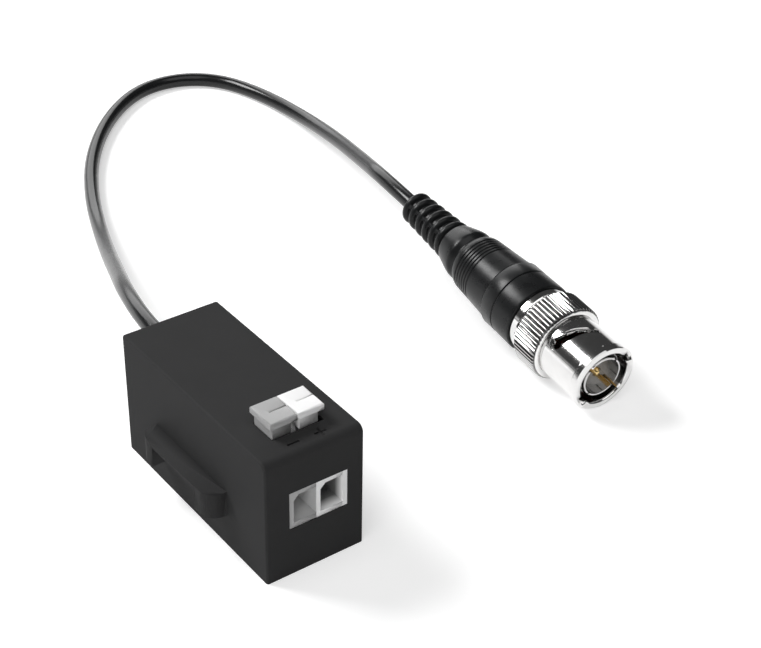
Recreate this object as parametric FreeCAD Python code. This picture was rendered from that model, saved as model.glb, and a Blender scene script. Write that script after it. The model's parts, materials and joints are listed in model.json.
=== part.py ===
"""Passive video balun: a black housing with a push-in wire terminal, a coax lead and a bayonet plug.

Millimetres. The origin is the centre of the housing's base face. +Z is up, -Y is the front with the wire
sockets, +Y is the rear where the cable leaves, and -X is the side with the bracket.
"""
import FreeCAD, Part
import math
import os

V = FreeCAD.Vector

# Working values: how far cuts run past a face, how near counts as equal, and an arc's middle in its square
overrun = 1.0
tolerance = 1e-6
arc_middle = 1 - math.sqrt(0.5)
arc_share = 0.45

# Housing
housing_width = 17.5
housing_length = 41.3
housing_height = 22.3
wall = 1.5
front_top_radius = 1.4
rear_top_radius = 0.6
side_edge_radius = 0.4

# Side bracket on the left wall
bracket_reach = 3.3
bracket_front = -9.85
bracket_length = 20.7
bracket_bottom = 6.2
bracket_height = 4.5
bracket_leg = 4.0
bracket_plate = 0.8
bracket_corner_radius = 2.6

# Recess for a neighbour's bracket in the right wall
neighbour_gap = 1.7
recess_clearance = 0.4
recess_end_clearance = 0.2
recess_wall = 1.0

# Bottom cover
cover_thickness = 1.6
cover_gap = 0.1
tab_width = 4.0
tab_thickness = 0.9
tab_top = 5.5
tab_offset = 15.2
barb_height = 1.5
barb_reach = 0.4
barb_slope_share = 0.35
barb_clearance = 0.1
post_radius = 1.1
post_inset_x = 2.6
post_inset_y = 4.0

# Circuit board
board_bottom = 5.8
board_thickness = 1.2
board_gap = 0.3
board_rib_gap = 0.05
rib_thickness = 1.2
rib_reach = 0.9
rib_offset = 16.4

# Two-pole push-in terminal
pole_pitch = 4.75
pole_side_wall = 0.75
end_plate_thickness = 0.85
terminal_step_gap = 0.15
nozzle_bottom = 8.75
nozzle_height = 6.6
nozzle_top_wall = 0.7
nozzle_bottom_wall = 0.9
nozzle_recess = 0.1
window_clearance = 0.1
terminal_depth = 11.0
terminal_wall_gap = 0.1
terminal_top_gap = 0.4
funnel_depth = 4.2
funnel_corner = 0.9
wire_hole_radius = 1.1
wire_hole_length = 2.2
wire_hole_side = 2.75
wire_hole_rise = 3.35
chamber_floor = 1.0
chamber_rear_wall = 0.8
peg_radius = 0.5
peg_length = 0.6
peg_setback = 1.6
peg_clearance = 0.03

# Push buttons
cap_gap = 0.05
cap_front = 4.8
cap_length = 5.6
cap_thickness = 1.1
cap_stand = 2.77
cap_edge_radius = 0.3
slot_width = 0.45
slot_depth = 0.3
slot_start_share = 0.32
stem_left = 0.3
stem_right = 3.55
stem_length = 4.8
stem_skirt = 0.15
plunger_left = 0.85
plunger_length = 2.85
plunger_tip = 1.3
plunger_clearance = 0.06
plunger_spring_gap = 0.1
foot_reach = 0.5
foot_height = 1.4
foot_length = 2.2
foot_gap = 0.05
foot_end_gap = 0.05
button_travel = 1.5
pocket_side_gap = 0.15
pocket_right_gap = 1.0
pocket_end_gap = 0.2

# Clamp springs and contact bars
strip_inset = 0.45
strip_width = 2.4
bar_thickness = 0.8
bar_drop_to_wire = 1.1
bar_end_gap = 0.2
pin_width = 0.9
pin_length = 2.6
pin_hole_clearance = 0.15
spring_thickness = 0.3
spring_bow_radius = 1.3
spring_leg_height = 2.1
spring_leg_lean = 32.0
spring_back_gap = 0.1

# Balun transformer
core_outer_radius = 4.4
core_inner_radius = 2.3
core_height = 4.0
core_x = -0.9
core_y = 2.6
winding_wire = 0.45
winding_turns = 8
winding_overlap = 0.05
winding_gap = 0.02

# Other circuit pieces
arrester_radius = 2.0
arrester_length = 6.0
arrester_cap_radius = 2.2
arrester_cap_length = 0.9
arrester_rib_gap = 0.15
arrester_y = 15.0
chip_length = 2.0
chip_width = 1.25
chip_height = 0.8
chip_x = 4.0
chip_y = 10.0
chip_pitch = 3.2
resistor_x = -5.2
resistor_y = 8.6

# Cable and its grommet
cable_diameter = 3.0
cable_drop = 5.7
grommet_collar_length = 3.5
grommet_collar_radius = 2.9
grommet_tip_radius = 2.45
grommet_neck_radius = 2.45
grommet_flange_radius = 3.3
grommet_flange_length = 1.2
grommet_groove_depth = 0.25
grommet_groove_start = 1.425
grommet_groove_width = 1.0
grommet_groove_floor = 0.6
grommet_groove_step = 0.2
grommet_end_chamfer = 0.3
grommet_fit = 0.05
cable_fit = 0.02
tail_start = 13.2
lead_radius = 0.75
braid_lead_radius = 0.5
lead_drop_y = 10.4
lead_slope_height = 4.0
lead_spread = 1.1

# Bayonet plug: stations along its axis from the strain relief's rear end
plug_heading = -93.0
plug_middle_x = 63.5
plug_middle_y = 12.5
floor_clearance = 0.03
plug_length = 58.0
boot_length = 39.5

# Boot
relief_rings = 6
relief_pitch = 2.3
relief_ring_width = 1.6
relief_rear_radius = 3.15
relief_front_radius = 3.9
relief_groove = 0.6
relief_web_width = 1.7
relief_web_inset = 0.12
relief_end_step = 0.1
relief_end_slope = 0.7
bell_station = 18.4
bell_radius = 5.1
bell_curve_length = 2.0
bell_curve_rise = 0.25
neck_station = 19.7
neck_radius = 4.65
neck_curve_length = 0.5
neck_curve_rise = 0.45
grip_station = 21.4
grip_radius = 5.65
grip_front_radius = 6.4
band_station = 31.2
band_radius = 6.75
band_front_radius = 6.85
band_edge = 0.25
fine_groove_count = 6
fine_groove_start = 0.45
fine_groove_pitch = 0.75
fine_groove_depth = 0.2
band_groove_station = 34.4
band_groove_depth = 0.2
boot_end_slope = 0.4
boot_end_chamfer = 0.3

# Metal pieces of the plug
collar_length = 1.9
collar_radius = 6.4
collar_rear_chamfer = 0.25
collar_front_chamfer = 0.5
sleeve_gap = 0.25
knurl_radius = 7.4
knurl_length = 6.2
knurl_teeth = 60
knurl_depth = 0.35
knurl_chamfer = 0.6
undercut_depth = 0.3
undercut_length = 0.5
shell_radius = 6.15
rim_radius = 6.4
rim_length = 1.3
rim_slope = 0.3
rim_chamfer = 0.25
sleeve_bore = 4.9
mouth_chamfer = 0.3
chamber_radius = 6.0
hub_radius = 4.94
running_gap = 0.06
closing_ring_length = 1.0
washer_thickness = 0.5
washer_gap = 0.05
wave_height = 1.5
wave_strip = 0.3
wave_count = 3
wave_steps = 12
flange_radius = 5.85
flange_length = 1.0
shoulder_gap = 0.05
front_hub_length = 0.7
bayonet_width = 2.2
bayonet_turn = 105.0
bayonet_rise = 3.8
bayonet_phase = 137.0
bayonet_tail_turn = 70.0
bayonet_tip_width = 0.5
bayonet_lip_width = 0.4
bayonet_lip_depth = 0.15
bayonet_end_inset = 8.0
bayonet_entry_depth = 0.7
shank_radius = 4.4
shank_length = 7.5
shank_groove = 0.6
crimp_neck_radius = 2.08
crimp_neck_length = 6.5
ferrule_radius = 2.6
ferrule_overlap = 3.3
core_radius = 0.95
contact_radius = 4.05
contact_wall = 0.5
contact_inset = 0.6
contact_tip_length = 0.4
contact_tip_chamfer = 0.25
contact_seat_radius = 4.35
contact_seat = 2.6
contact_slots = 4
contact_slot_width = 0.5
contact_slot_length = 6.5
gasket_length = 1.0
gasket_side_gap = 0.1
insulator_front = 7.4
insulator_tail_radius = 2.2
insulator_tail_length = 7.0
pin_radius = 0.675
pin_shoulder_radius = 0.85
pin_barrel_radius = 1.0
pin_barrel_length = 6.0
pin_front_inset = 1.1
pin_tip_length = 0.6
pin_tip_share = 0.45

# The free cable's route between its two ends, on the floor beside the housing
cable_height = housing_height - cable_drop
cable_floor = cable_diameter / 2 + 0.05
cable_route = [
    (0.0, 32.0, cable_height),
    (3.6, 42.6, 14.4),
    (8.2, 54.2, 10.4),
    (13.3, 67.4, 6.0),
    (18.7, 81.2, 2.7),
    (24.2, 94.8, cable_floor),
    (31.2, 108.2, cable_floor),
    (40.2, 120.0, cable_floor),
    (49.8, 128.6, cable_floor),
    (58.6, 132.8, cable_floor),
    (67.6, 131.9, cable_floor),
    (74.5, 126.0, cable_floor),
    (78.2, 114.6, cable_floor),
    (78.8, 99.9, 2.3),
    (75.7, 83.1, 5.3),
    (70.2, 65.0, 9.4),
]
last_run = 10.0

# Sizes that follow from the ones above
half_width = housing_width / 2
half_length = housing_length / 2
inner_half_width = half_width - wall
inner_half_length = half_length - wall
board_top = board_bottom + board_thickness
bracket_rear = bracket_front + bracket_length
bracket_top = bracket_bottom + bracket_height
recess_depth = bracket_reach - neighbour_gap + recess_end_clearance
recess_front = bracket_front - recess_clearance
recess_rear = bracket_rear + recess_clearance
recess_top = bracket_top + recess_clearance
step_face = half_width - recess_depth - recess_wall
arrester_left = -inner_half_width + rib_reach + arrester_rib_gap
terminal_width = 2 * pole_pitch + end_plate_thickness
terminal_left = step_face - terminal_step_gap - terminal_width
nozzle_front = -half_length + nozzle_recess
nozzle_top = nozzle_bottom + nozzle_height
terminal_front = -inner_half_length + terminal_wall_gap
terminal_rear = terminal_front + terminal_depth
terminal_top = housing_height - wall - terminal_top_gap
wire_height = nozzle_bottom + wire_hole_rise
funnel_end = nozzle_front + funnel_depth
chamber_front = funnel_end + wire_hole_length
chamber_rear = terminal_rear - chamber_rear_wall
chamber_bottom = board_top + chamber_floor
button_front = -half_length + cap_front
stem_rear = button_front + stem_length
plunger_front = stem_rear - plunger_length
bar_top = wire_height - bar_drop_to_wire
bow_height = bar_top + spring_leg_height
bow_top = bow_height + spring_bow_radius
guide_bottom = bow_top + foot_end_gap + button_travel + foot_height + foot_gap
plunger_end = bow_top + plunger_spring_gap
cap_top = housing_height + cap_stand
cap_bottom = cap_top - cap_thickness
pole_lefts = (terminal_left, terminal_left + pole_pitch)
cable_radius = cable_diameter / 2
exit_y = half_length + grommet_collar_length
sleeve_rear = boot_length + collar_length + sleeve_gap
sleeve_front = plug_length
bayonet_end = sleeve_front - bayonet_end_inset
knurl_contact = sleeve_rear + knurl_length - knurl_chamfer
rim_contact = sleeve_front - rim_chamfer
plug_tilt = math.atan2(knurl_radius - rim_radius, rim_contact - knurl_contact)
closing_front = sleeve_rear + closing_ring_length
washer_rear = closing_front + washer_gap
washer_front = washer_rear + washer_thickness
wave_rear = washer_front + washer_gap
wave_front = wave_rear + wave_height
flange_rear = wave_front + washer_gap
flange_front = flange_rear + flange_length
shoulder_station = flange_front + shoulder_gap
hub_front = flange_front + front_hub_length
gasket_front = hub_front + gasket_length
neck_start = boot_length - shank_length - crimp_neck_length
contact_rear = hub_front - contact_seat
contact_front = sleeve_front - contact_inset
insulator_face = contact_rear + insulator_front
tail_rear = contact_rear - insulator_tail_length


# Helpers

def block(x0, x1, y0, y1, z0, z1):
    """A box between two opposite corners."""
    return Part.makeBox(x1 - x0, y1 - y0, z1 - z0, V(x0, y0, z0))


def prism(corners, height, base=0.0):
    """A straight prism on a polygon of (x, y) corners."""
    points = [V(x, y, base) for x, y in corners]
    face = Part.Face(Part.makePolygon(points + points[:1]))
    return face.extrude(V(0, 0, height))


def side_prism(corners, x0, x1):
    """A prism along X on a polygon of (y, z) corners."""
    points = [V(x0, y, z) for y, z in corners]
    face = Part.Face(Part.makePolygon(points + points[:1]))
    return face.extrude(V(x1 - x0, 0, 0))


def outlined(point, start, *steps):
    """A face. A step of two numbers is a line to that place, one of four is an arc through the first two."""
    edges = []
    first = point(*start)
    here = first
    for step in steps:
        there = point(*step[-2:])
        if len(step) == 2:
            edges.append(Part.LineSegment(here, there).toShape())
        else:
            edges.append(Part.Arc(here, point(*step[:2]), there).toShape())
        here = there
    edges.append(Part.LineSegment(here, first).toShape())
    return Part.Face(Part.Wire(edges))


def turned(start, *steps):
    """A solid turned about Z, from an outline of (radius, station) places."""
    face = outlined(lambda radius, station: V(radius, 0, station), start, *steps)
    return face.revolve(V(0, 0, 0), V(0, 0, 1), 360)


def ring(inner, outer, rear, front):
    """A plain ring about Z."""
    return turned((inner, rear), (outer, rear), (outer, front), (inner, front))


def rod(radius, rear, front):
    """A plain rod about Z."""
    return Part.makeCylinder(radius, front - rear, V(0, 0, rear))


def fused(shapes):
    """One clean solid from pieces that overlap or meet."""
    return shapes[0].multiFuse(shapes[1:]).removeSplitter()


def save(name, shape):
    """Writes one node's file."""
    shape.exportStep(os.path.join("parts", name + ".step"))


# Housing

def cavity_outline(inset):
    """The inside of the four walls in plan, drawn in by a gap, with the step round the recess."""
    right = inner_half_width - inset
    left = -right
    end = inner_half_length - inset
    step = step_face - inset
    step_front = recess_front - recess_wall - inset
    step_rear = recess_rear + recess_wall + inset
    return [
        (left, -end), (right, -end), (right, step_front), (step, step_front),
        (step, step_rear), (right, step_rear), (right, end), (left, end),
    ]


def shell_body():
    """The outer block with its rounded front edge, from the side outline."""
    front = -half_length
    rear = half_length
    top = housing_height
    front_bend = arc_middle * front_top_radius
    rear_bend = arc_middle * rear_top_radius
    side = outlined(
        lambda y, z: V(-half_width, y, z),
        (front, 0), (front, top - front_top_radius),
        (front + front_bend, top - front_bend, front + front_top_radius, top),
        (rear - rear_top_radius, top),
        (rear - rear_bend, top - rear_bend, rear, top - rear_top_radius),
        (rear, 0),
    )
    body = side.extrude(V(housing_width, 0, 0))
    edges = []
    for edge in body.Edges:
        on_side = all(abs(abs(vertex.X) - half_width) < tolerance for vertex in edge.Vertexes)
        same_side = abs(edge.Vertexes[0].X - edge.Vertexes[-1].X) < tolerance
        on_base = all(abs(vertex.Z) < tolerance for vertex in edge.Vertexes)
        if on_side and same_side and not on_base:
            edges.append(edge)
    return body.makeFillet(side_edge_radius, edges)


def bracket():
    """The side bracket: a thin plate on two rounded legs, open below and to the side."""
    face = -half_width
    out = face - bracket_reach
    radius = bracket_corner_radius
    bend = arc_middle * radius
    plan = outlined(
        lambda x, y: V(x, y, bracket_bottom),
        (face, bracket_front), (out + radius, bracket_front),
        (out + bend, bracket_front + bend, out, bracket_front + radius),
        (out, bracket_rear - radius),
        (out + bend, bracket_rear - bend, out + radius, bracket_rear),
        (face, bracket_rear),
    )
    solid = plan.extrude(V(0, 0, bracket_height))
    gap = block(
        out - overrun, face, bracket_front + bracket_leg, bracket_rear - bracket_leg,
        bracket_bottom - overrun, bracket_top - bracket_plate,
    )
    return solid.cut(gap)


def housing_shell():
    """The moulded shell, open below."""
    cavity = prism(cavity_outline(0), recess_top + recess_wall + overrun, -overrun)
    full = block(
        -inner_half_width, inner_half_width, -inner_half_length, inner_half_length,
        recess_top + recess_wall, housing_height - wall,
    )
    recess = block(
        half_width - recess_depth, half_width + overrun, recess_front, recess_rear, -overrun, recess_top
    )
    window = block(
        terminal_left - window_clearance, terminal_left + terminal_width + window_clearance,
        -half_length - overrun, -inner_half_length + overrun,
        nozzle_bottom - window_clearance, nozzle_top + window_clearance,
    )
    pocket = block(
        pole_lefts[0] + stem_left - pocket_side_gap, pole_lefts[1] + stem_right + pocket_right_gap,
        button_front - pocket_end_gap, stem_rear + pocket_end_gap,
        housing_height - wall - overrun, housing_height + overrun,
    )
    cable_hole = Part.makeCylinder(
        grommet_neck_radius + grommet_fit, 4 * wall, V(0, inner_half_length - wall, cable_height), V(0, 1, 0)
    )
    shell = shell_body().cut(cavity).cut(full)
    ribs = []
    for side in (-1, 1):
        for end in (-1, 1):
            near = side * inner_half_width
            far = side * (inner_half_width - rib_reach)
            middle = end * rib_offset
            ribs.append(block(
                min(near, far), max(near, far), middle - rib_thickness / 2, middle + rib_thickness / 2,
                board_top + board_rib_gap, housing_height - wall,
            ))
    shell = fused([shell, bracket()] + ribs)
    shell = shell.cut(recess).cut(window).cut(pocket).cut(cable_hole)
    for side in (-1, 1):
        for end in (-1, 1):
            shell = shell.cut(barb(side, end, barb_clearance))
    return shell


def barb(side, end, gap):
    """The snap barb on a tab, or the room for it in the wall."""
    inner = side * (inner_half_width - cover_gap - gap)
    outer = side * (inner_half_width + barb_reach + gap)
    middle = end * tab_offset
    low = tab_top - barb_height - gap
    high = tab_top + gap
    half = tab_width / 2 + gap
    corners = [(inner, high), (outer, low + (high - low) * barb_slope_share), (outer, low), (inner, low)]
    points = [V(x, middle - half, z) for x, z in corners]
    return Part.Face(Part.makePolygon(points + points[:1])).extrude(V(0, 2 * half, 0))


def bottom_cover():
    """The base plate with its snap tabs and the posts under the board."""
    pieces = [prism(cavity_outline(cover_gap), cover_thickness)]
    for side in (-1, 1):
        for end in (-1, 1):
            outer = side * (inner_half_width - cover_gap)
            inner = side * (inner_half_width - cover_gap - tab_thickness)
            middle = end * tab_offset
            pieces.append(block(
                min(outer, inner), max(outer, inner), middle - tab_width / 2, middle + tab_width / 2,
                0, tab_top,
            ))
            pieces.append(barb(side, end, 0))
            pieces.append(Part.makeCylinder(
                post_radius, board_bottom,
                V(side * (inner_half_width - post_inset_x), end * (inner_half_length - post_inset_y), 0),
            ))
    return fused(pieces)


# Push-in terminal

def terminal_profile():
    """The side outline of a pole: nozzle in front, body behind the wall."""
    return [
        (nozzle_front, nozzle_bottom), (nozzle_front, nozzle_top), (terminal_front, nozzle_top),
        (terminal_front, terminal_top), (terminal_rear, terminal_top), (terminal_rear, board_top),
        (terminal_front, board_top), (terminal_front, nozzle_bottom),
    ]


def funnel(left):
    """The wire funnel: a five-cornered mouth that narrows to the wire hole."""
    low = nozzle_bottom + nozzle_bottom_wall
    high = nozzle_top - nozzle_top_wall
    near = left + pole_side_wall
    far = left + pole_pitch
    mouth = [
        (near, low), (far, low), (far, high), (near + funnel_corner, high), (near, high - funnel_corner),
    ]
    small = wire_hole_radius
    middle = left + wire_hole_side
    cut = small * funnel_corner / 2
    throat = [
        (middle - small, wire_height - small), (middle + small, wire_height - small),
        (middle + small, wire_height + small), (middle - small + cut, wire_height + small),
        (middle - small, wire_height + small - cut),
    ]
    wires = []
    for corners, y in ((mouth, nozzle_front), (throat, funnel_end)):
        points = [V(x, y, z) for x, z in corners]
        wires.append(Part.makePolygon(points + points[:1]))
    return Part.makeLoft(wires, True, True)


def pegs(x, gap=0.0):
    """Two locating pegs that stand out to the left of a pole or of the end plate."""
    spots = (
        (terminal_front + peg_setback, (nozzle_top + terminal_top) / 2),
        (terminal_front + peg_setback, (board_top + nozzle_bottom + nozzle_bottom_wall) / 2),
    )
    return [
        Part.makeCylinder(peg_radius + gap, peg_length + gap, V(x, y, z), V(-1, 0, 0))
        for y, z in spots
    ]


def pole(left, takes_pegs_on_left):
    """One pole housing, open on its right side, with funnel, wire hole, chamber and button shaft."""
    right = left + pole_pitch
    solid = side_prism(terminal_profile(), left, right)
    solid = solid.cut(funnel(left))
    wire_hole = Part.makeCylinder(
        wire_hole_radius, wire_hole_length + overrun,
        V(left + wire_hole_side, funnel_end - overrun / 2, wire_height), V(0, 1, 0),
    )
    chamber = block(
        left + pole_side_wall, right, chamber_front, chamber_rear, chamber_bottom, guide_bottom
    )
    gap = plunger_clearance
    shaft = block(
        left + plunger_left - gap, left + stem_right + gap, plunger_front - gap, stem_rear + gap,
        guide_bottom - overrun, terminal_top,
    )
    pin_slot = block(
        left + pole_side_wall, left + pole_side_wall + strip_inset + strip_width + pin_hole_clearance,
        chamber_rear - bar_thickness - pin_hole_clearance, chamber_rear, board_top, chamber_bottom,
    )
    solid = solid.cut(wire_hole).cut(chamber).cut(shaft).cut(pin_slot)
    for peg in pegs(right, peg_clearance):
        solid = solid.cut(peg)
    if takes_pegs_on_left:
        solid = fused([solid] + pegs(left))
    return solid


def terminal_end_plate():
    """The plate that closes the open side of the last pole."""
    left = terminal_left + 2 * pole_pitch
    plate = side_prism(terminal_profile(), left, left + end_plate_thickness)
    return fused([plate] + pegs(left))


def button(left):
    """A push button: slotted cap, stem, plunger and the foot that keeps it in its shaft."""
    cap = block(
        left + cap_gap / 2, left + pole_pitch - cap_gap / 2, button_front, button_front + cap_length,
        cap_bottom, cap_top,
    )
    top_edges = [edge for edge in cap.Edges if all(abs(v.Z - cap_top) < tolerance for v in edge.Vertexes)]
    cap = cap.makeFillet(cap_edge_radius, top_edges)
    slot_middle = button_front + cap_length / 2
    slot = block(
        left + pole_pitch * slot_start_share, left + pole_pitch + overrun,
        slot_middle - slot_width / 2, slot_middle + slot_width / 2,
        cap_top - slot_depth, cap_top + overrun,
    )
    cap = cap.cut(slot)
    stem = block(
        left + stem_left, left + stem_right, button_front, stem_rear,
        housing_height - stem_skirt, cap_bottom,
    )
    plunger = side_prism(
        [
            (plunger_front, cap_bottom), (stem_rear, cap_bottom), (stem_rear, plunger_end),
            (stem_rear - plunger_tip, plunger_end),
            (plunger_front, plunger_end + plunger_length - plunger_tip),
        ],
        left + plunger_left, left + stem_right,
    )
    foot_top = guide_bottom - foot_gap
    foot = block(
        left + plunger_left, left + stem_right + foot_reach, stem_rear - foot_length, stem_rear,
        foot_top - foot_height, foot_top,
    )
    return fused([cap, stem, plunger, foot])


def contact_bar(left):
    """The current bar under the wire, with its solder pin through the board."""
    x0 = left + pole_side_wall + strip_inset
    x1 = x0 + strip_width
    shelf = block(x0, x1, chamber_front + bar_end_gap, chamber_rear, bar_top - bar_thickness, bar_top)
    upright = block(x0, x1, chamber_rear - bar_thickness, chamber_rear, board_top, bar_top)
    middle = (x0 + x1) / 2
    pin = block(
        middle - pin_width / 2, middle + pin_width / 2,
        chamber_rear - bar_thickness, chamber_rear, board_top - pin_length, board_top,
    )
    return fused([shelf, upright, pin])


def clamp_spring(left):
    """The bowed strip spring: an upright leg, a bow and a leaning leg that presses on the bar."""
    x0 = left + pole_side_wall + strip_inset
    x1 = x0 + strip_width
    rear = chamber_rear - bar_thickness - spring_back_gap
    centre = V(x0, rear - spring_bow_radius, bow_height)
    upright = block(x0, x1, rear - spring_thickness, rear, bar_top, bow_height)
    outer = Part.makeCylinder(spring_bow_radius, x1 - x0, centre, V(1, 0, 0))
    inner = Part.makeCylinder(spring_bow_radius - spring_thickness, x1 - x0, centre, V(1, 0, 0))
    lower_half = block(
        x0 - overrun, x1 + overrun, rear - 3 * spring_bow_radius, rear + spring_bow_radius,
        bow_height - 2 * spring_bow_radius, bow_height,
    )
    bow = outer.cut(inner).cut(lower_half)
    front = rear - 2 * spring_bow_radius
    lean = math.radians(spring_leg_lean)
    reach = spring_leg_height * math.tan(lean)
    leg = side_prism(
        [
            (front, bow_height), (front + spring_thickness, bow_height),
            (front + spring_thickness - reach, bar_top), (front - reach, bar_top),
        ],
        x0, x1,
    )
    return fused([upright, bow, leg])


# Circuit

def circuit_board():
    """The board, with holes for the two solder pins."""
    board = prism(cavity_outline(board_gap), board_thickness, board_bottom)
    for left in pole_lefts:
        middle = left + pole_side_wall + strip_inset + strip_width / 2
        hole = Part.makeCylinder(
            pin_width / 2 * math.sqrt(2) + pin_hole_clearance, board_thickness + 2 * overrun,
            V(middle, chamber_rear - bar_thickness / 2, board_bottom - overrun),
        )
        board = board.cut(hole)
    return board


def ferrite_core():
    """The toroid, lifted off the board by the wire under it."""
    low = board_top + winding_wire
    core = ring(core_inner_radius, core_outer_radius, low, low + core_height)
    core.translate(V(core_x, core_y, 0))
    return core


def winding(middle_angle):
    """Turns of wire round the toroid, side by side in its hole and fanned outside."""
    low = board_top + winding_wire
    inner = core_inner_radius - winding_gap
    outer = core_outer_radius
    step = math.degrees((winding_wire - winding_overlap) / (inner - winding_wire))
    turns = []
    for index in range(winding_turns):
        loop = block(
            inner - winding_wire, outer + winding_wire, -winding_wire / 2, winding_wire / 2,
            board_top, low + core_height + winding_wire,
        )
        turn = loop.cut(block(inner, outer, -winding_wire, winding_wire, low, low + core_height))
        turn.rotate(V(0, 0, 0), V(0, 0, 1), middle_angle + (index - (winding_turns - 1) / 2) * step)
        turns.append(turn)
    solid = fused(turns)
    solid.translate(V(core_x, core_y, 0))
    return solid


def surge_arrester():
    """A gas tube with its two end caps, lying on the board."""
    body = turned(
        (0, 0), (arrester_cap_radius, 0), (arrester_cap_radius, arrester_cap_length),
        (arrester_radius, arrester_cap_length), (arrester_radius, arrester_length - arrester_cap_length),
        (arrester_cap_radius, arrester_length - arrester_cap_length), (arrester_cap_radius, arrester_length),
        (0, arrester_length),
    )
    body.rotate(V(0, 0, 0), V(0, 1, 0), 90)
    body.translate(V(arrester_left, arrester_y, board_top + arrester_cap_radius))
    return body


def chips(x, y, height):
    """Two chip parts in a row along Y."""
    return Part.makeCompound([
        block(
            x - chip_length / 2, x + chip_length / 2,
            y + index * chip_pitch - chip_width / 2, y + index * chip_pitch + chip_width / 2,
            board_top, board_top + height,
        )
        for index in range(2)
    ])


# Cable

def rounded_path(points, report=None):
    """Straight runs joined by tangent arcs, each as large as its two runs allow."""
    edges = []
    here = points[0]
    radii = []
    for before, corner, after in zip(points, points[1:], points[2:]):
        to_before = (before - corner).normalize()
        to_after = (after - corner).normalize()
        turn = math.pi - to_before.getAngle(to_after)
        shorter = min(before.distanceToPoint(corner), after.distanceToPoint(corner))
        tangent = arc_share * shorter
        radius = tangent / math.tan(turn / 2)
        start = corner + to_before * tangent
        end = corner + to_after * tangent
        bisector = (to_before + to_after).normalize()
        middle = corner + bisector * (radius / math.cos(turn / 2) - radius)
        edges.append(Part.LineSegment(here, start).toShape())
        edges.append(Part.Arc(start, middle, end).toShape())
        here = end
        radii.append(radius)
    edges.append(Part.LineSegment(here, points[-1]).toShape())
    if report:
        print(report, "radii", [round(radius, 1) for radius in radii])
    return Part.Wire(edges)


def tube(points, radius, report=None):
    """A round tube along a rounded path."""
    path = rounded_path(points, report)
    first = points[1] - points[0]
    profile = Part.Wire([Part.makeCircle(radius, points[0], first)])
    solid = path.makePipeShell([profile], True, False)
    if report:
        expected = math.pi * radius ** 2 * path.Length
        print(report, "length", round(path.Length, 2), "volume share", round(solid.Volume / expected, 5))
    return solid


def cable_grommet():
    """The rubber grommet: inner flange, neck in the wall, and a short tapered collar outside."""
    bore = cable_radius + cable_fit
    flange_rear = -grommet_flange_length - wall
    groove_end = grommet_groove_start + grommet_groove_width
    groove_slope = (grommet_groove_width - grommet_groove_floor) / 2
    groove_radius = (grommet_collar_radius + grommet_tip_radius) / 2 - grommet_groove_depth
    grommet = turned(
        (bore, flange_rear), (grommet_flange_radius, flange_rear), (grommet_flange_radius, -wall),
        (grommet_neck_radius, -wall), (grommet_neck_radius, 0), (grommet_collar_radius, 0),
        (grommet_collar_radius, grommet_groove_start), (groove_radius, grommet_groove_start + groove_slope),
        (groove_radius, groove_end - groove_slope), (grommet_tip_radius + grommet_groove_step, groove_end),
        (grommet_tip_radius, grommet_collar_length - grommet_end_chamfer),
        (grommet_tip_radius - grommet_end_chamfer, grommet_collar_length), (bore, grommet_collar_length),
    )
    grommet.rotate(V(0, 0, 0), V(1, 0, 0), -90)
    grommet.translate(V(0, half_length, cable_height))
    return grommet


def cable_tail():
    """The jacketed end inside the grommet and the housing."""
    return Part.makeCylinder(cable_radius, exit_y - tail_start, V(0, tail_start, cable_height), V(0, 1, 0))


def lead(side, radius):
    """A stripped lead that leaves the jacket's end straight and meets the board upright."""
    x = side * lead_radius
    foot_x = x + side * lead_spread
    points = [
        V(x, tail_start, cable_height),
        V(x, lead_drop_y, cable_height),
        V(foot_x, lead_drop_y, cable_height - lead_slope_height),
        V(foot_x, lead_drop_y, board_top),
    ]
    return tube(points, radius)


# Bayonet plug

def plug_axis():
    """The plug's direction, from the strain relief down to the mouth."""
    heading = math.radians(plug_heading)
    level = math.cos(plug_tilt)
    return V(math.cos(heading) * level, math.sin(heading) * level, -math.sin(plug_tilt))


def plug_rear():
    """The centre of the strain relief's rear face, with the knurl and the rim resting on the floor."""
    axis = plug_axis()
    level = V(axis.x, axis.y, 0)
    height = knurl_radius * math.cos(plug_tilt) + floor_clearance - axis.z * knurl_contact
    middle = V(plug_middle_x, plug_middle_y, 0)
    return V(0, 0, height) + middle - level * (plug_length / 2)


def placed(shape):
    """A plug piece, moved from its own axis to where the plug lies."""
    turn = FreeCAD.Rotation(V(0, 0, 1), plug_axis())
    moved = shape.copy()
    moved.Placement = FreeCAD.Placement(plug_rear(), turn)
    return moved


def relief_crest(station):
    """The strain relief's outer radius at a station."""
    share = station / (relief_rings * relief_pitch)
    return relief_rear_radius + share * (relief_front_radius - relief_rear_radius)


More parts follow.
